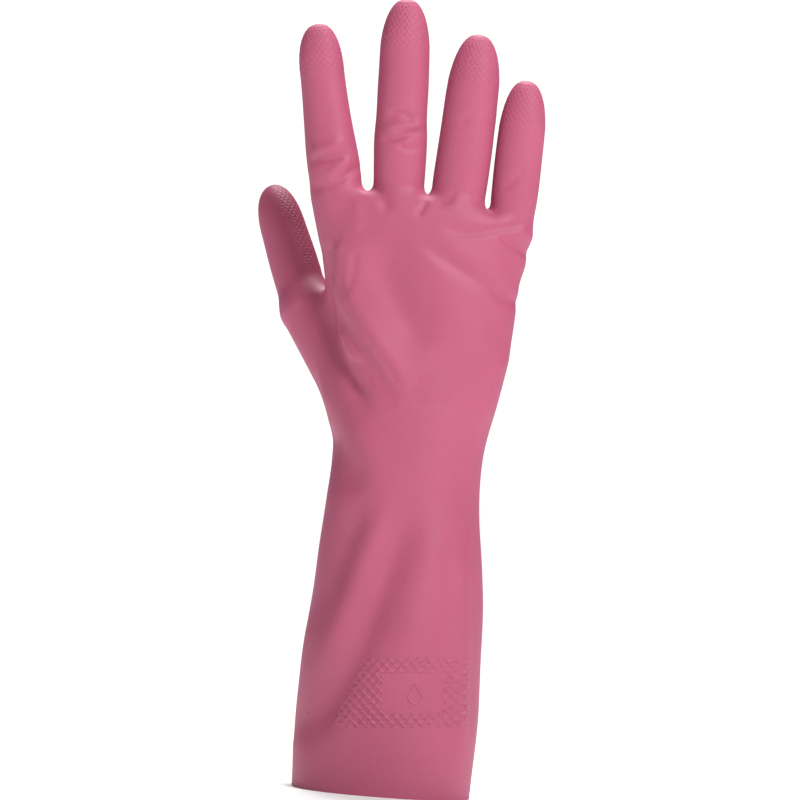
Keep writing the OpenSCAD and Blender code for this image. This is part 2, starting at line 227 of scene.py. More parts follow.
# ---------------------------------------------------------------- folds of the worn latex
# Kind, points (x, z) seen from the back, height and half width. A step is high on its
# right-hand side, going along its points.
FOLDS = [
    # fingers
    ("groove", [(-47, 239.6), (-39.5, 241.2), (-30, 244.0)], 1.20, 1.6),
    ("ridge", [(-47, 243.4), (-40, 245.4), (-31, 249.5)], 0.75, 2.2),
    ("groove", [(-37.5, 231.0), (-31.3, 235.6), (-26.0, 240.0)], 1.10, 1.7),
    ("ridge", [(-40, 233.6), (-35, 238.4), (-29, 241)], 0.55, 1.8),
    ("groove", [(-45, 228), (-40, 231), (-34.5, 231)], 0.60, 2.2),
    ("groove", [(-21, 251.0), (-15, 250.6), (-8, 253.5), (-2, 254.0)], 1.10, 1.4),
    ("ridge", [(-20.5, 254.0), (-13.3, 256.0), (-6.5, 256.6), (-2, 258)], 0.70, 1.5),
    ("groove", [(-19.5, 259.6), (-12, 260.4), (-6, 257.8)], 1.00, 1.7),
    ("groove", [(-14, 249.5), (-9, 247.2), (-2, 249)], 0.50, 1.2),
    ("groove", [(-22, 233), (-17, 228), (-14, 221)], 0.70, 2.4),
    ("ridge", [(-26, 228), (-27, 220), (-24, 213)], 0.50, 3.0),
    ("groove", [(9, 257.8), (14.5, 262.0), (20.5, 267.6)], 0.45, 1.8),
    ("groove", [(28.0, 234.0), (33, 239), (38, 244.2)], 0.45, 1.8),
    ("groove", [(0.5, 229), (-1.5, 225), (-4, 221)], 0.60, 1.5),
    ("groove", [(3, 226), (8, 229), (12, 234)], 0.40, 1.8),
    # knuckles and the back of the hand
    ("ridge", [(-32.6, 211), (-32.2, 203), (-30.6, 191)], 0.90, 2.2),
    ("groove", [(-35.5, 210), (-35.8, 202), (-34.4, 192)], 0.60, 2.0),
    ("groove", [(-12, 144.5), (-23.5, 155.5), (-32.0, 169), (-37.8, 186), (-40.4, 206)], 3.90, 3.6),
    ("ridge", [(-34.5, 199), (-26.5, 184), (-16.5, 170), (-4.0, 156)], 1.00, 4.6),
    ("step", [(-2, 152), (-4.9, 154.8), (-11.7, 163.5), (-18.6, 172.3), (-24.1, 179.7), (-29.8, 189.8),
              (-33.7, 208.6), (-37, 220)], 2.10, 3.0),
    ("ridge", [(-44, 179), (-39.5, 165), (-34, 152), (-30, 142)], 1.00, 2.4),
    ("groove", [(-48, 167.5), (-43, 171.0), (-38, 174)], 0.90, 1.8),
    ("groove", [(-26, 208), (-26, 198), (-27.5, 188)], 0.50, 1.7),
    ("ridge", [(-32.0, 178.5), (-26.5, 169.5), (-18.5, 163)], 1.00, 2.0),
    ("groove", [(-26.5, 166), (-21, 162.5), (-13.5, 154)], 0.70, 1.8),
    ("groove", [(-20, 213), (-8.5, 190.5), (6, 168.5)], 2.20, 7.0),
    ("ridge", [(-2, 216), (12, 192), (26, 170)], 0.70, 8.0),
    ("groove", [(-4, 213), (12.8, 203.6), (30, 194.5), (38, 190)], 1.20, 2.8),
    ("ridge", [(6, 211.6), (20, 207), (38, 200)], 0.40, 3.0),
    ("groove", [(5, 217.6), (18, 217), (30, 220), (42, 222.5)], 0.95, 1.9),
    ("groove", [(28, 217), (35, 213.5), (47, 208.5)], 1.10, 1.9),
    ("ridge", [(34, 221), (40, 218), (47, 215)], 0.60, 2.4),
    ("groove", [(28, 197), (35, 193), (46, 188.5)], 0.90, 1.9),
    ("groove", [(-4, 150.0), (8, 150.6), (22, 149)], 0.25, 2.6),
    ("ridge", [(36, 178), (31.5, 160), (28.0, 142)], 0.80, 2.5),
    ("groove", [(31, 178), (27.5, 160), (24.5, 142)], 0.50, 2.5),
    # wrist and cuff
    ("groove", [(-33, 141), (-25, 127), (-17, 112)], 1.60, 5.5),
    ("ridge", [(-24, 146), (-14, 130), (-6, 112)], 0.80, 5.5),
    ("groove", [(-15, 114), (-23, 88), (-33, 58)], 1.80, 5.5),
    ("ridge", [(-4, 122), (-12, 92), (-21, 62), (-30, 38)], 1.50, 5.5),
    ("groove", [(3, 114), (-3.5, 88), (-13, 58), (-26, 30), (-37, 16)], 3.80, 6.6),
    ("ridge", [(16, 120), (11, 84), (3, 56), (-8, 26)], 1.50, 8.0),
    ("groove", [(17, 104), (21, 60), (24, 10)], 0.80, 3.5),
    ("ridge", [(22.5, 112), (27, 60), (30, -6)], 1.00, 3.2),
    ("groove", [(27, 118), (31.5, 60), (35, 0)], 0.80, 3.0),
]


def rounded_line(points, per=10):
    """A smooth line through the points (a Catmull-Rom curve)."""
    p = np.array(points, float)
    p = np.vstack([2 * p[0] - p[1], p, 2 * p[-1] - p[-2]])
    t = np.linspace(0, 1, per, endpoint=False)[:, None]
    runs = [
        0.5 * (2 * b + (c - a) * t + (2 * a - 5 * b + 4 * c - d) * t**2 + (3 * b - a - 3 * c + d) * t**3)
        for a, b, c, d in zip(p, p[1:], p[2:], p[3:])
    ]
    return np.vstack(runs + [p[-2:-1]])


# Share of a fold's length over which it fades at each end
FOLD_FADE = 0.3
FOLD_LINES = [(kind, rounded_line(pts), height, width) for kind, pts, height, width in FOLDS]


def folds(p):
    """Height of the folds on the back: a bell-shaped rise, dip or step across each line,
    easing out at its ends."""
    xz = p[..., (0, 2)].reshape(-1, 2)
    out = np.zeros(len(xz))
    back = ease(-p[..., 1].reshape(-1), -6, 3)
    for kind, line, height, width in FOLD_LINES:
        reach = 3.2 * width * (2 if kind == "step" else 1)
        boxed = np.all((xz > line.min(0) - reach) & (xz < line.max(0) + reach), axis=1)
        near = np.flatnonzero(boxed & (back > 0))
        if not len(near):
            continue
        q, a, b = xz[near], line[:-1], line[1:]
        run = b - a
        t = np.clip(((q[:, None] - a) * run).sum(-1) / (run**2).sum(-1), 0, 1)
        gap = q[:, None] - a - t[..., None] * run
        dist = np.hypot(gap[..., 0], gap[..., 1])
        best = dist.argmin(1)
        each = np.arange(len(near))
        d, along = dist[each, best], (best + t[each, best]) / len(a)
        fade = ease(along, 0, FOLD_FADE) * ease(1 - along, 0, FOLD_FADE)
        if kind == "step":
            side = np.sign(run[best, 1] * gap[each, best, 0] - run[best, 0] * gap[each, best, 1])
            rise = height * side * (1 - bell(d, width)) * bell(d, 2.6 * width)
        else:
            rise = height * bell(d, width) * (1 if kind == "ridge" else -1)
        out[near] += fade * rise * back[near]
    return out.reshape(p.shape[:-1])


def slackness(p):
    """The latex's own slight unevenness: a few long low waves."""
    x, y, z = p[..., 0], p[..., 1], p[..., 2]
    short = np.sin(x / 6.1 + z / 9.7 + 1.3) * np.sin(y / 7.3 - z / 13.1)
    long = np.sin(x / 9.3 - z / 17.9 + y / 11)
    return 0.10 * (short + 0.7 * long)


# ---------------------------------------------------------------- raised grip
# A fingertip scale: its width, the pitch of its rows, half the width of its ridge, and its height.
# The palm's scales are twice as large, and the cuff band's have sizes of their own.
SCALE_W, SCALE_H, SCALE_LINE, SCALE_RISE = 2.3, 1.35, 0.27, 0.13
BAND_SCALE_W, BAND_SCALE_H, BAND_SCALE_LINE, BAND_SCALE_RISE = 3.5, 1.95, 0.36, 0.46
# How much flatter than a half circle a scale is
SCALE_SQUASH = 0.85
# The cuff's band of scales stands at this angle to the hem
BAND_TURN = math.radians(4.5)
BAND_LOW, BAND_HIGH = 26.4, 52.9
# The plain panel among them: its left, right, lower and upper edges, and the drop in it
PANEL = (1.3, 24.1, 32.1, 47.0)
DROP_AT, DROP_RISE, DROP_LINE = (13.3, 38.2), 0.36, 0.42


def scale_lines(a, s, wide, high, line):
    """Fish scales: rows of half circles, each row moved along by half a scale, as thin ridges.
    The distance from a scale's centre less its half width gives the distance to its ridge."""
    row = np.floor(s / high)
    out = 0
    for k in (0, 1):
        u = a / wide + 0.5 * np.mod(row - k, 2)
        u = (u - np.round(u)) * wide
        v = s - (row - k) * high
        ridge = bell(np.hypot(u, v * SCALE_SQUASH) - wide / 2, line)
        out = np.maximum(out, ridge * ease(v, -0.1, 0.2))
    return out


def digit_grip(d, p):
    """Grip on a digit: all round its tip, and along its palm side. The thumb's back is plain."""
    q = d.local(p)
    s, w = q[..., 2], d.width_at(q[..., 2])
    angle = np.arctan2(q[..., 0], -q[..., 1] / d.flat)
    # distance round the digit, then how far each place is on its palm side and near its end
    a = angle * 0.97 * d.width_at(d.dome)
    front = ease(q[..., 1] / w, 0.05, 0.4) * ease(s, 1, 5)
    tip = ease(s, d.len - 21.5, d.len - 17)
    if d is THUMB:
        tip = tip * ease(np.abs(angle), 0.9, 1.4)
        front = ease(q[..., 1] / w, -0.35, 0.1) * ease(s, 1, 5)
    # only on the digit's own surface, and not at the very end, where the scales would crowd
    out = np.hypot(q[..., 0], q[..., 1])
    inside = ease(-np.abs(out - 0.9 * w), -0.6 * w, -0.4 * w) * ease(s, -2, 0)
    pole = ease(out, 2.2, 3.6)
    lines = scale_lines(a, -s, SCALE_W, SCALE_H, SCALE_LINE)
    return SCALE_RISE * lines * np.maximum(front, tip) * pole * np.where(s > d.len - 12, 1, inside)


def palm_grip(p):
    """The same grip over the palm, faded towards its edges and its heel."""
    x, y, z = p[..., 0], p[..., 1], p[..., 2]
    left, right, _, palm = (np.interp(z, ARM_AT, c) for c in ARM)
    u = (x - (left + right) / 2) / ((right - left) / 2)
    area = ease(y / palm, 0.35, 0.6) * ease(1 - np.abs(u), 0.06, 0.25)
    area = area * ease(z, 148, 156) * ease(-z, -226, -219)
    return SCALE_RISE * scale_lines(x, -z, 2 * SCALE_W, 2 * SCALE_H, 2 * SCALE_LINE) * area


def cuff_band(p):
    """Rows of upright scales round a plain panel that holds a drop-shaped size mark."""
    x = p[..., 0] * math.cos(BAND_TURN) + p[..., 2] * math.sin(BAND_TURN)
    z = -p[..., 0] * math.sin(BAND_TURN) + p[..., 2] * math.cos(BAND_TURN)
    scales = scale_lines(x, z - BAND_LOW, BAND_SCALE_W, BAND_SCALE_H, BAND_SCALE_LINE)
    # the scales start at a slanting edge and fade out round the side
    left_edge = -20.3 + (z - BAND_LOW) / (BAND_HIGH - BAND_LOW) * 12.6
    area = ease(x, left_edge, left_edge + 1.5) * ease(-x, -34.5, -32.5)
    area = area * ease(z, BAND_LOW, BAND_LOW + 0.3) * ease(-z, -BAND_HIGH, -BAND_HIGH + 0.3)
    x0, x1, z0, z1 = PANEL
    edge = np.maximum(np.maximum(x0 - x, x - x1), np.maximum(z0 - z, z - z1))
    area = area * ease(edge, 0, 0.4)
    # drop: a round bottom that tapers to a point
    q = np.stack([x - DROP_AT[0], z - DROP_AT[1]], -1)
    drop = round_cone(q, np.zeros(2), np.array((0.0, 4.6)), 2.7, 0.1)
    mark = DROP_RISE * bell(drop, DROP_LINE)
    return ease(-p[..., 1], 0, 6) * (BAND_SCALE_RISE * scales * area + mark)


def rise_at(p):
    """Everything that stands above or below the plain form."""
    out = folds(p) + slackness(p)
    z = p[..., 2]
    if z.min() < 60:
        out = out + cuff_band(p)
    if z.max() > 140:
        out = out + palm_grip(p)
        for d in DIGITS:
            grip = np.where(d.form(p) < 3.0, digit_grip(d, p), 0)
            out = out + grip * ease(d.local(p)[..., 2], -1, 3)
    return out


def dress(points, rise=rise_at, inset=0.0):
    """Moves points of the plain form out along its normal by the rise, and gives the new normals."""
    _, n = slope(glove_form, points)
    n /= np.linalg.norm(n, axis=-1, keepdims=True)
    if rise is None:
        return points - inset * n, n
    h, g = slope(rise, points)
    out = n - (g - (g * n).sum(-1, keepdims=True) * n)
    out /= np.linalg.norm(out, axis=-1, keepdims=True)
    return points + (h - inset)[..., None] * n, out


# ---------------------------------------------------------------- surfaces
# From the outside of the latex to the face of the flock
LINING_DEPTH = 0.95
# The rays fan out over a fingertip from this far below its top, and cover this much of its surface
FAN_DROP, FAN_ARC = 9.5, 15
# Half width of a digit for which the points round it are spaced
SPACED_FOR = 9.2


def cast(origins, rays, guess, turns=16):
    """Distance along each ray from inside the form to its surface, by steps of the form's value."""
    r = np.broadcast_to(guess, rays.shape[:-1]).astype(float).copy()
    for _ in range(turns):
        r -= glove_form(origins + r[..., None] * rays)
    return r


def digit_grid(d, low, high, step, closed):
    """Rings round a digit from low to high, with rays across it, and a fan of rays over the dome."""
    sides = int(round(2 * math.pi * SPACED_FOR / step / 4)) * 4
    angle = np.linspace(0, 2 * np.pi, sides, endpoint=False)
    ring = np.stack([np.sin(angle), np.cos(angle), 0 * angle], -1)
    top = d.len - FAN_DROP if closed else high
    rows = np.linspace(low, top, max(2, int(round((top - low) / step))))
    bow = d.bow * np.sin(np.pi * np.clip(rows / d.len, 0, 1))
    origins = np.stack([bow, 0 * rows, rows], -1)[:, None] + 0 * ring
    rays = 0 * origins + ring
    if closed:
        lift = np.linspace(0, np.pi / 2, int(round(FAN_ARC / step)))[1:, None, None]
        fan = np.cos(lift) * ring + np.sin(lift) * np.array((0, 0, 1.0))
        origins = np.concatenate([origins, origins[-1:] + 0 * fan])
        rays = np.concatenate([rays, fan])
    o, r = d.world(origins), rays @ d.turn.T
    return o + cast(o, r, d.width_at(0) * 0.8)[..., None] * r


def arm_grid(rows, angles):
    """Rings round the cuff and the wrist, at the given heights and angles."""
    z, a = np.meshgrid(rows, angles, indexing="ij")
    centre = (np.interp(z, ARM_AT, ARM[0]) + np.interp(z, ARM_AT, ARM[1])) / 2
    origins = np.stack([centre, 0 * z, z], -1)
    rays = np.stack([np.sin(a), np.cos(a), 0 * a], -1)
    return origins + cast(origins, rays, 26.0)[..., None] * rays


def grid_faces(rows, sides, closed_top=False):
    """Triangles of a grid of rings, facing outwards. A closed top's last ring is one point."""
    i, j = (a.ravel() for a in np.meshgrid(np.arange(rows - 1), np.arange(sides), indexing="ij"))
    k = (j + 1) % sides
    low, high, high_next, low_next = i * sides + j, (i + 1) * sides + j, (i + 1) * sides + k, i * sides + k
    faces = np.concatenate([np.stack([low, high, high_next], 1), np.stack([low, high_next, low_next], 1)])
    if closed_top:
        faces = np.minimum(faces, (rows - 1) * sides)
        faces = faces[(faces[:, 0] != faces[:, 1]) & (faces[:, 1] != faces[:, 2])]
    return faces


def net(low, high, step):
    """A net of points over the form's surface in a box: one point in each cell that the surface
    passes through, joined to its neighbours, and then moved onto the surface."""
    axes = [np.arange(a, b + step, step) for a, b in zip(low, high)]
    layers = (np.stack(np.meshgrid([x], axes[1], axes[2], indexing="ij"), -1) for x in axes[0])
    inside = np.stack([glove_form(layer)[0] < 0 for layer in layers])
    a, b, c = (n - 1 for n in inside.shape)
    corners = [(i, j, k) for i in (0, 1) for j in (0, 1) for k in (0, 1)]
    whole = sum(inside[i : a + i, j : b + j, k : c + k].astype(np.int8) for i, j, k in corners)
    mixed = (whole > 0) & (whole < 8)
    number = np.full(mixed.shape, -1)
    number[mixed] = np.arange(mixed.sum())
    points = np.array([a[0] for a in axes]) + step * (np.argwhere(mixed) + 0.5)
    quads = []
    for axis in range(3):
        a, n = np.moveaxis(inside, axis, 0), np.moveaxis(number, axis, 0)
        i, j, k = np.nonzero((a[:-1] != a[1:])[:, 1:-1, 1:-1])
        four = np.stack([n[i, j, k], n[i, j + 1, k], n[i, j + 1, k + 1], n[i, j, k + 1]], 1)
        turned = a[:-1][:, 1:-1, 1:-1][i, j, k] ^ (axis == 1)
        quads.append(np.where(turned[:, None], four, four[:, ::-1]))
    quads = np.concatenate(quads)
    for _ in range(5):
        f, g = slope(glove_form, points)
        points = points - (f / (g**2).sum(-1))[:, None] * g
    return points, np.concatenate([quads[:, (0, 1, 2)], quads[:, (0, 2, 3)]])


def trim(points, faces, over):
    """Cuts away the part of a net of triangles where the value at its points is over 0,
    along a clean line."""
    up = over[faces] > 0
    count = up.sum(1)
    kept = [faces[count == 0]]
    extra, start = [], len(points)
    for odd_is_up in (True, False):
        odd = faces[count == (1 if odd_is_up else 2)]
        flag = (over[odd] > 0) == odd_is_up
        turn = flag.argmax(1)
        odd = np.stack([odd[np.arange(len(odd)), (turn + k) % 3] for k in range(3)], 1)
        ends = []
        for k in (1, 2):
            a, b = odd[:, 0], odd[:, k]
            lo, hi = np.minimum(a, b), np.maximum(a, b)
            t = (over[lo] / (over[lo] - over[hi]))[:, None]
            extra.append((np.stack([lo, hi], 1), points[lo] + t * (points[hi] - points[lo])))
            ends.append(start + np.arange(len(odd)))
            start += len(odd)
        if odd_is_up:
            kept += [np.stack([ends[0], odd[:, 1], odd[:, 2]], 1)]
            kept += [np.stack([ends[0], odd[:, 2], ends[1]], 1)]
        else:
            kept += [np.stack([odd[:, 0], ends[0], ends[1]], 1)]
    faces = np.concatenate(kept)
    keys = np.concatenate([k for k, _ in extra])
    new = np.concatenate([p for _, p in extra])
    _, first, same = np.unique(keys, axis=0, return_index=True, return_inverse=True)
    remap = np.concatenate([np.arange(len(points)), len(points) + same.ravel()])
    points, faces = np.concatenate([points, new[first]]), remap[faces]
    used = np.unique(faces)
    back = np.full(len(points), -1)
    back[used] = np.arange(len(used))
    return points[used], back[faces]


def put(name, points, faces, normals, material, inward=False):
    """Makes a mesh object of points in millimetres, with its own smooth normals."""
    used = faces.max() + 1
    points, normals = points.reshape(-1, 3)[:used] * MM, normals.reshape(-1, 3)[:used]
    if inward:
        faces, normals = faces[:, ::-1], -normals
    mesh = bpy.data.meshes.new(name)
    mesh.from_pydata(points, [], faces.tolist())
    mesh.validate()
    mesh.shade_smooth()
    mesh.normals_split_custom_set_from_vertices(normals)
    mesh.materials.append(material)
    piece = bpy.data.objects.new(name, mesh)
    bpy.context.scene.collection.objects.link(piece)
    return piece


# ---------------------------------------------------------------- materials
def linear(code):
    """A colour as sRGB hex, as Blender's linear values."""
    parts = [int(code.lstrip("#")[i : i + 2], 16) / 255 for i in (0, 2, 4)]
    return tuple(c / 12.92 if c <= 0.04045 else ((c + 0.055) / 1.055) ** 2.4 for c in parts) + (1.0,)


def node(tree, kind, settings=(), links=()):
    """Adds a node, sets its attributes or input sockets, and links other nodes' outputs into it."""
    n = tree.nodes.new(kind)
    for key, value in dict(settings).items():
        if key in n.inputs:
            n.inputs[key].default_value = value
        else:
            setattr(n, key, value)
    for key, source in dict(links).items():
        tree.links.new(source, n.inputs[key])
    return n


def new_material(name):
    m = bpy.data.materials.new(name)
    m.use_nodes = True
    m.node_tree.nodes.clear()
    return m, m.node_tree


def latex_material(c):
    """Dipped natural-rubber latex, chlorinated: satin, slightly waxy, with faint cloudy colour
    and a fine speckle."""
    m, t = new_material("dipped natural rubber latex")
    place = node(t, "ShaderNodeTexCoord").outputs["Object"]
    # clouds about 25 mm across, where the dip ran thicker
    cloud = node(t, "ShaderNodeTexNoise", {"Scale": 40.0, "Detail": 3.0, "Roughness": 0.5}, {"Vector": place})
    cloudy = cloud.outputs["Fac"]
    # speckle: filler grains and flock showing through, drawn 0.5 mm across so that it shows
    speck = node(t, "ShaderNodeTexNoise", {"Scale": 2000.0, "Detail": 2.0, "Roughness": 0.6}, {"Vector": place})
    specks = speck.outputs["Fac"]
    body = node(t, "ShaderNodeMix", {"data_type": "RGBA"}, {"Factor": cloudy})
    body.inputs["A"].default_value, body.inputs["B"].default_value = linear(c.latex_deep), linear(c.latex)
    middling = {"From Min": 0.3, "From Max": 0.7}
    tint = node(t, "ShaderNodeMapRange", middling | {"To Min": 0.94, "To Max": 1.06}, {"Value": specks})
    colour = node(t, "ShaderNodeVectorMath", {"operation": "SCALE"},
                  {"Vector": body.outputs["Result"], "Scale": tint.outputs["Result"]})
    rough = node(t, "ShaderNodeMapRange", middling | {"To Min": 0.54, "To Max": 0.62}, {"Value": cloudy})
    bump = node(t, "ShaderNodeBump", {"Strength": 0.25, "Distance": 0.00006}, {"Height": specks})
    skin = node(t, "ShaderNodeBsdfPrincipled",
                {"IOR": 1.52, "Subsurface Weight": 0.12, "Subsurface Scale": 0.0015, "Specular IOR Level": 0.4},
                {"Base Color": colour.outputs["Vector"], "Roughness": rough.outputs["Result"],
                 "Normal": bump.outputs["Normal"]})
    skin.inputs["Subsurface Radius"].default_value = (1.0, 0.35, 0.4)
    node(t, "ShaderNodeOutputMaterial", {}, {"Surface": skin.outputs["BSDF"]})
    return m


def flock_material(c):
    """Cotton flock, blown onto the wet latex: matt, off-white, a nap of short fibres."""
    m, t = new_material("cotton flock")
    place = node(t, "ShaderNodeTexCoord").outputs["Object"]
    # tufts of the nap, about 0.4 mm
    nap = node(t, "ShaderNodeTexNoise", {"Scale": 2500.0, "Detail": 4.0, "Roughness": 0.7}, {"Vector": place})
    body = node(t, "ShaderNodeMix", {"data_type": "RGBA"}, {"Factor": nap.outputs["Fac"]})
    body.inputs["A"].default_value, body.inputs["B"].default_value = linear(c.flock_deep), linear(c.flock)
    bump = node(t, "ShaderNodeBump", {"Strength": 0.8, "Distance": 0.0003}, {"Height": nap.outputs["Fac"]})
    skin = node(t, "ShaderNodeBsdfPrincipled", {"Roughness": 0.95, "Sheen Weight": 0.4, "Sheen Roughness": 0.5},
                {"Base Color": body.outputs["Result"], "Normal": bump.outputs["Normal"]})
    node(t, "ShaderNodeOutputMaterial", {}, {"Surface": skin.outputs["BSDF"]})
    return m


def paper_material(c):
    """Matt studio paper: an even, pale sheet with the faintest fibre mottling."""
    m, t = new_material("matt studio paper")
    place = node(t, "ShaderNodeTexCoord").outputs["Object"]
    fibre = node(t, "ShaderNodeTexNoise", {"Scale": 300.0, "Detail": 3.0}, {"Vector": place})
    body = node(t, "ShaderNodeMix", {"data_type": "RGBA"}, {"Factor": fibre.outputs["Fac"]})
    body.inputs["A"].default_value, body.inputs["B"].default_value = linear(c.paper_deep), linear(c.paper)
    skin = node(t, "ShaderNodeBsdfPrincipled", {"Roughness": 0.9, "Specular IOR Level": 0.2},
                {"Base Color": body.outputs["Result"]})
    node(t, "ShaderNodeOutputMaterial", {}, {"Surface": skin.outputs["BSDF"]})
    return m


def finish_of(kind):
    """The shared material of a kind, made the first time it is asked for."""
    names = {"latex": "dipped natural rubber latex", "flock": "cotton flock", "paper": "matt studio paper"}
    makers = {"latex": latex_material, "flock": flock_material, "paper": paper_material}
    return bpy.data.materials.get(names[kind]) or makers[kind](bpy.context.scene.glove_colours)


# ---------------------------------------------------------------- where the pieces meet
# Along each digit: where its first piece starts, then for each hinge a stretch
# (low, high) round it, which nothing here bends, and where the next piece starts
SEAMS = {
    "index": [(-4.0, -3.9, 8.0), (8.2, 8.4, 21.0), (24.0, 30.0, 42.0)],
    "middle": [(-4.0, -3.9, 9.0), (11.0, 13.0, 28.2), (33.0, 39.4, 51.4)],
    "ring": [(-4.0, -3.9, 8.6), (9.4, 10.2, 25.2), (29.0, 33.0, 45.0)],
    "little": [(-2.4, -2.3, 7.6), (7.8, 7.9, 20.0), (22.0, 24.0, 35.0)],
    "thumb": [(-7.0, -6.8, 5.5), (8.0, 11.2, 24.0)],
}
WRIST_LOW, WRIST_HIGH = 105.0, 136.5
SEGMENTS = ("base", "middle", "tip")


def segments_of(d):
    """For each piece of a digit: its segment, the body before it, its low end, its high end,
    and the stretch round its hinge, which is not bent."""
    rows = SEAMS[d.name]
    names = SEGMENTS if len(rows) == 3 else ("base", "tip")
    for i, (low, start, end) in enumerate(rows):
        before = "hand" if i == 0 else f"{d.name}_{names[i - 1]}"
        high = rows[i + 1][0] if i + 1 < len(rows) else None
        yield names[i], before, low, high, start, end


def skin_step(context):
    return context.scene.glove_sizes.fine_step / MM * 1


def bend(piece, d, start, end):
    at = [tuple(d.world(np.array((0, 0, s))) * MM) for s in (start, end)]
    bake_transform(piece)


def bend_wrist(piece):
    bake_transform(piece)


def make_digit(d, step, kind):
    """All the pieces of one digit: its skin, or its lining, which is an even layer inside it."""
    skin = kind == "skin"
    for segment, before, low, high, start, end in segments_of(d):
        plain = digit_grid(d, low, high, step, high is None)
        points, normals = dress(plain, rise_at if skin else folds)
        if not skin:
            points, normals = dress(points, None, LINING_DEPTH)
        rows, sides = points.shape[:2]
        piece = put(f"{d.name}_{segment}_{kind}", points, grid_faces(rows, sides, high is None), normals,
                    finish_of("latex" if skin else "flock"), inward=not skin)
        bend(piece, d, start, end)
        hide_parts(f"{d.name}_{segment}_{'shell' if skin else 'lining'}")


# ---------------------------------------------------------------- operators
class GLOVE_OT_cuff(bpy.types.Operator):
    """Latex cuff with its cut hem and grip band, and the soft wrist above it"""

    bl_idname = "glove.cuff"
    bl_label = "Cuff and wrist"

    def execute(self, context):
        latex = finish_of("latex")
        fine = skin_step(context)
        # angles close together over the band, wide apart elsewhere; the back is at 180 degrees
        band = np.arange(math.radians(102), math.radians(225), fine / 34)
        rest = np.arange(math.radians(225), math.radians(462), 1.6 / 34)
        angles = np.concatenate([band, rest])
        hem, above = [0.25, 0.6, 1.2], np.arange(56.5, WRIST_LOW, 1.0)
        rows = np.concatenate([hem, np.arange(2, 22, 1.0), np.arange(22, 56, fine), above, [WRIST_LOW]])
        points, normals = dress(arm_grid(rows, angles))
        # the cut edge: round over 0.5 mm of latex, and a little way up inside. Height, depth into
        # the wall, and how far the surface faces outwards and upwards
        base, out = points[:1], normals[:1] * (1, 1, 0)
        out /= np.linalg.norm(out, axis=-1, keepdims=True)
        edge = [(6.0, 0.5, -1, 0), (0.25, 0.5, -1, 0)]
        edge += [(0.0, 0.42, -0.4, -1), (0.0, 0.25, 0, -1), (0.0, 0.08, 0.4, -1)]
        rim = np.concatenate([base * (1, 1, 0) + (0, 0, z) - inset * out for z, inset, _, _ in edge])
        rim_n = np.concatenate([a * out + (0, 0, b) for _, _, a, b in edge])
        rim_n /= np.linalg.norm(rim_n, axis=-1, keepdims=True)
        points, normals = np.concatenate([rim, points]), np.concatenate([rim_n, normals])
        piece = put("cuff_skin", points, grid_faces(*points.shape[:2]), normals, latex)
        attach(piece, "cuff")
        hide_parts("cuff_shell")
        rows = np.linspace(WRIST_LOW, WRIST_HIGH, 34)
        points, normals = dress(arm_grid(rows, np.linspace(0, 2 * np.pi, 220, endpoint=False)))
        piece = put("wrist_skin", points, grid_faces(*points.shape[:2]), normals, latex)
        bend_wrist(piece)
        return {"FINISHED"}


def hand_net(step):
    """The hand from the wrist to the digits' first pieces, as a net cut along their planes."""
    low, high = (-67.0, -27.0, WRIST_HIGH - 2.5), (48.0, 44.0, 243.0)
    points, faces = net(low, high, step)
    points, faces = trim(points, faces, WRIST_HIGH - points[:, 2])
    for d in DIGITS:
        value = d.form(points)
        own = (value < 4) & np.all([value <= other.form(points) for other in DIGITS], axis=0)
        over = np.where(own, d.local(points)[:, 2] - SEAMS[d.name][0][0], -1.0)
        points, faces = trim(points, faces, over)
    return points, faces


class GLOVE_OT_hand(bpy.types.Operator):
    """Latex over the palm, the back of the hand and the ball of the thumb"""

    bl_idname = "glove.hand"
    bl_label = "Hand"

    def execute(self, context):
        step = context.scene.glove_sizes.hand_step / MM * 1
        points, faces = hand_net(step)
        points, normals = dress(points)
        piece = put("hand_skin", points, faces, normals, finish_of("latex"))
        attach(piece, "hand")
        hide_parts("hand_shell")
        return {"FINISHED"}


class GLOVE_OT_fingers(bpy.types.Operator):
    """Latex over the four fingers, with the grip on their tips and palm sides"""

    bl_idname = "glove.fingers"
    bl_label = "Fingers"

    def execute(self, context):
        for d in FINGERS:
            make_digit(d, skin_step(context), "skin")
        return {"FINISHED"}


class GLOVE_OT_thumb(bpy.types.Operator):
    """Latex over the thumb"""

    bl_idname = "glove.thumb"
    bl_label = "Thumb"

    def execute(self, context):
        make_digit(THUMB, skin_step(context), "skin")
        return {"FINISHED"}


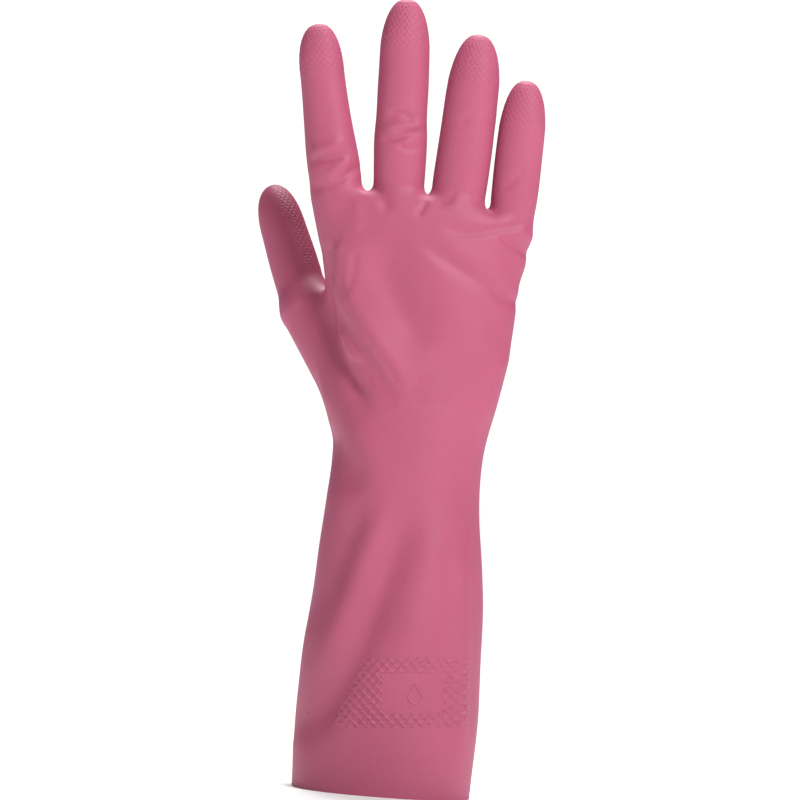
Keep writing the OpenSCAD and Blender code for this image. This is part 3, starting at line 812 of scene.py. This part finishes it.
class GLOVE_OT_lining(bpy.types.Operator):
    """Cotton flock inside the cuff, the hand and the digits"""

    bl_idname = "glove.lining"
    bl_label = "Flock lining"

    def execute(self, context):
        flock = finish_of("flock")
        angles = np.linspace(0, 2 * np.pi, 110, endpoint=False)
        rows = np.concatenate([[0.3, 1.5], np.arange(4, WRIST_LOW, 3), [WRIST_LOW]])
        points, n = dress(dress(arm_grid(rows, angles))[0], None, LINING_DEPTH)
        # its lower edge meets the cut edge of the latex
        cut = np.concatenate([points[:1] * (1, 1, 0) + 0.38 * n[:1], points[:1] * (1, 1, 0)])
        cut[..., 2] = 0.15
        up = 0 * n[:1] + (0, 0, 1)
        points, n = np.concatenate([cut, points]), np.concatenate([up, up, n])
        piece = put("cuff_flock", points, grid_faces(*points.shape[:2]), n, flock, inward=True)
        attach(piece, "cuff")
        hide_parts("cuff_lining")
        rows = np.linspace(WRIST_LOW, WRIST_HIGH, 16)
        points, n = dress(dress(arm_grid(rows, angles))[0], None, LINING_DEPTH)
        piece = put("wrist_flock", points, grid_faces(*points.shape[:2]), n, flock, inward=True)
        bend_wrist(piece)
        points, faces = hand_net(1.6)
        points, n = dress(dress(points)[0], None, LINING_DEPTH)
        piece = put("hand_flock", points, faces, n, flock, inward=True)
        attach(piece, "hand")
        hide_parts("hand_lining")
        for d in DIGITS:
            make_digit(d, 1.5, "flock")
        return {"FINISHED"}


# The camera's place across the glove and above the floor
CAMERA_X, CAMERA_Z = -0.004345, 0.15097


class GLOVE_OT_stage(bpy.types.Operator):
    """Pale paper floor, soft lights and the camera"""

    bl_idname = "glove.stage"
    bl_label = "Stage"

    def execute(self, context):
        stage = context.scene.glove_stage
        # floor: a wide round sheet of paper, seen from every side
        turn = np.linspace(0, 2 * np.pi, 96, endpoint=False)
        points = stage.floor * np.stack([np.cos(turn), np.sin(turn), 0 * turn], -1)
        mesh = bpy.data.meshes.new("floor")
        mesh.from_pydata(points, [], [list(range(len(turn)))])
        mesh.materials.append(finish_of("paper"))
        floor = bpy.data.objects.new("floor", mesh)
        context.scene.collection.objects.link(floor)

        # the room is as white as the paper, and gives only a little light of its own
        world = bpy.data.worlds.new("studio")
        world.use_nodes = True
        t = world.node_tree
        t.nodes.clear()
        seen = node(t, "ShaderNodeLightPath").outputs["Is Camera Ray"]
        strength = node(t, "ShaderNodeMapRange", {"To Min": stage.fill, "To Max": 1.1}, {"Value": seen})
        strength = strength.outputs["Result"]
        air = node(t, "ShaderNodeBackground", {"Color": linear("#FFFFFF")}, {"Strength": strength})
        node(t, "ShaderNodeOutputWorld", {}, {"Surface": air.outputs["Background"]})
        context.scene.world = world
        # name, kind, place, what it faces, size in metres or angle, power
        lamps = [
            ("key", "AREA", (0.55, -0.75, 1.05), (0, 0, 0.2), 0.7, stage.key),
            ("side", "AREA", (-1.3, -1.0, 0.6), (0, 0, 0.15), 1.1, stage.side),
            ("ceiling", "SUN", (0, 1.2, 2.4), (0, 0, 0), math.radians(30), stage.ceiling),
        ]
        for name, kind, at, aim, size, power in lamps:
            data = bpy.data.lights.new(name, kind)
            data.energy = power
            if kind == "AREA":
                data.shape, data.size = "DISK", size
            else:
                data.angle = size
            lamp = bpy.data.objects.new(name, data)
            context.scene.collection.objects.link(lamp)
            z_axis = np.array(at) - aim
            z_axis = z_axis / np.linalg.norm(z_axis)
            x_axis = np.cross((0, 0.2, 1), z_axis)
            x_axis /= np.linalg.norm(x_axis)
            way = Matrix(np.stack([x_axis, np.cross(z_axis, x_axis), z_axis], 1).tolist()).to_4x4()
            way.translation = at
            lamp.matrix_world = way

        data = bpy.data.cameras.new("camera")
        data.lens, data.sensor_width = 36 * stage.distance / stage.view_width, 36
        data.clip_end = 20
        camera = bpy.data.objects.new("camera", data)
        context.scene.collection.objects.link(camera)
        # level, facing the back of the hand, and turned about its view
        c, s = math.cos(stage.roll), math.sin(stage.roll)
        way = Matrix(((c, -s, 0), (0, 0, -1), (s, c, 0))).to_4x4()
        way.translation = (CAMERA_X, -stage.distance, CAMERA_Z)
        camera.matrix_world = way
        context.scene.camera = camera
        # colours come out as they are given, without a film curve
        context.scene.view_settings.view_transform = "Standard"
        return {"FINISHED"}


# ---------------------------------------------------------------- settings
class GloveSizes(bpy.types.PropertyGroup):
    """Sizes of the glove's surfaces"""

    fine_step: bpy.props.FloatProperty(
        name="Fine step", description="Spacing of the surface where there is grip", default=0.00034, unit="LENGTH"
    )
    hand_step: bpy.props.FloatProperty(
        name="Hand step", description="Spacing of the surface over the hand", default=0.0006, unit="LENGTH"
    )


class GloveColours(bpy.types.PropertyGroup):
    """Colours of the glove and its stage, as sRGB hex"""

    latex: bpy.props.StringProperty(name="Latex", description="Latex where it is thinnest", default="#B55876")
    latex_deep: bpy.props.StringProperty(
        name="Latex, deep", description="Latex where it is thickest", default="#AA4D6B"
    )
    flock: bpy.props.StringProperty(name="Flock", description="Tips of the cotton fibres", default="#F4E9EA")
    flock_deep: bpy.props.StringProperty(
        name="Flock, deep", description="Between the cotton fibres", default="#E3CBD0"
    )
    paper: bpy.props.StringProperty(name="Paper", description="Studio floor", default="#F8F8F8")
    paper_deep: bpy.props.StringProperty(
        name="Paper, deep", description="Mottling of the studio floor", default="#F4F4F4"
    )


class GloveStage(bpy.types.PropertyGroup):
    """Camera and lights"""

    distance: bpy.props.FloatProperty(
        name="Distance", description="From the camera to the glove", default=2.4, unit="LENGTH"
    )
    view_width: bpy.props.FloatProperty(
        name="View width", description="Width seen at the glove", default=0.3082, unit="LENGTH"
    )
    roll: bpy.props.FloatProperty(
        name="Roll", description="Turn of the camera about its view", default=math.radians(4.5), subtype="ANGLE"
    )
    fill: bpy.props.FloatProperty(name="Fill", description="Even light from all round", default=0.04)
    key: bpy.props.FloatProperty(name="Key", description="Power of the main lamp in watts", default=16.2)
    side: bpy.props.FloatProperty(name="Side", description="Power of the weaker lamp in watts", default=2.5)
    ceiling: bpy.props.FloatProperty(
        name="Ceiling", description="Strength of the light from above, in watts per square metre", default=3.75
    )
    floor: bpy.props.FloatProperty(name="Floor", description="Radius of the floor", default=8.0, unit="LENGTH")


OPERATORS = [GLOVE_OT_cuff, GLOVE_OT_hand, GLOVE_OT_fingers, GLOVE_OT_thumb, GLOVE_OT_lining, GLOVE_OT_stage]


class GLOVE_PT_panel(bpy.types.Panel):
    """Settings and steps of the glove"""

    bl_idname = "GLOVE_PT_panel"
    bl_label = "Rubber glove"
    bl_space_type = "VIEW_3D"
    bl_region_type = "UI"
    bl_category = "Glove"

    def draw(self, context):
        for group in (context.scene.glove_sizes, context.scene.glove_colours, context.scene.glove_stage):
            box = self.layout.box()
            for key in group.__annotations__:
                box.prop(group, key)
        for operator in OPERATORS:
            self.layout.operator(operator.bl_idname)


CLASSES = [GloveSizes, GloveColours, GloveStage] + OPERATORS + [GLOVE_PT_panel]


def register():
    for c in CLASSES:
        bpy.utils.register_class(c)
    bpy.types.Scene.glove_sizes = bpy.props.PointerProperty(type=GloveSizes)
    bpy.types.Scene.glove_colours = bpy.props.PointerProperty(type=GloveColours)
    bpy.types.Scene.glove_stage = bpy.props.PointerProperty(type=GloveStage)


def unregister():
    del bpy.types.Scene.glove_stage, bpy.types.Scene.glove_colours, bpy.types.Scene.glove_sizes
    for c in reversed(CLASSES):
        bpy.utils.unregister_class(c)


def main():
    register()
    bpy.ops.glove.stage()
    bpy.ops.glove.cuff()
    bpy.ops.glove.hand()
    bpy.ops.glove.fingers()
    bpy.ops.glove.thumb()
    bpy.ops.glove.lining()


if __name__ == "__main__":
    main()
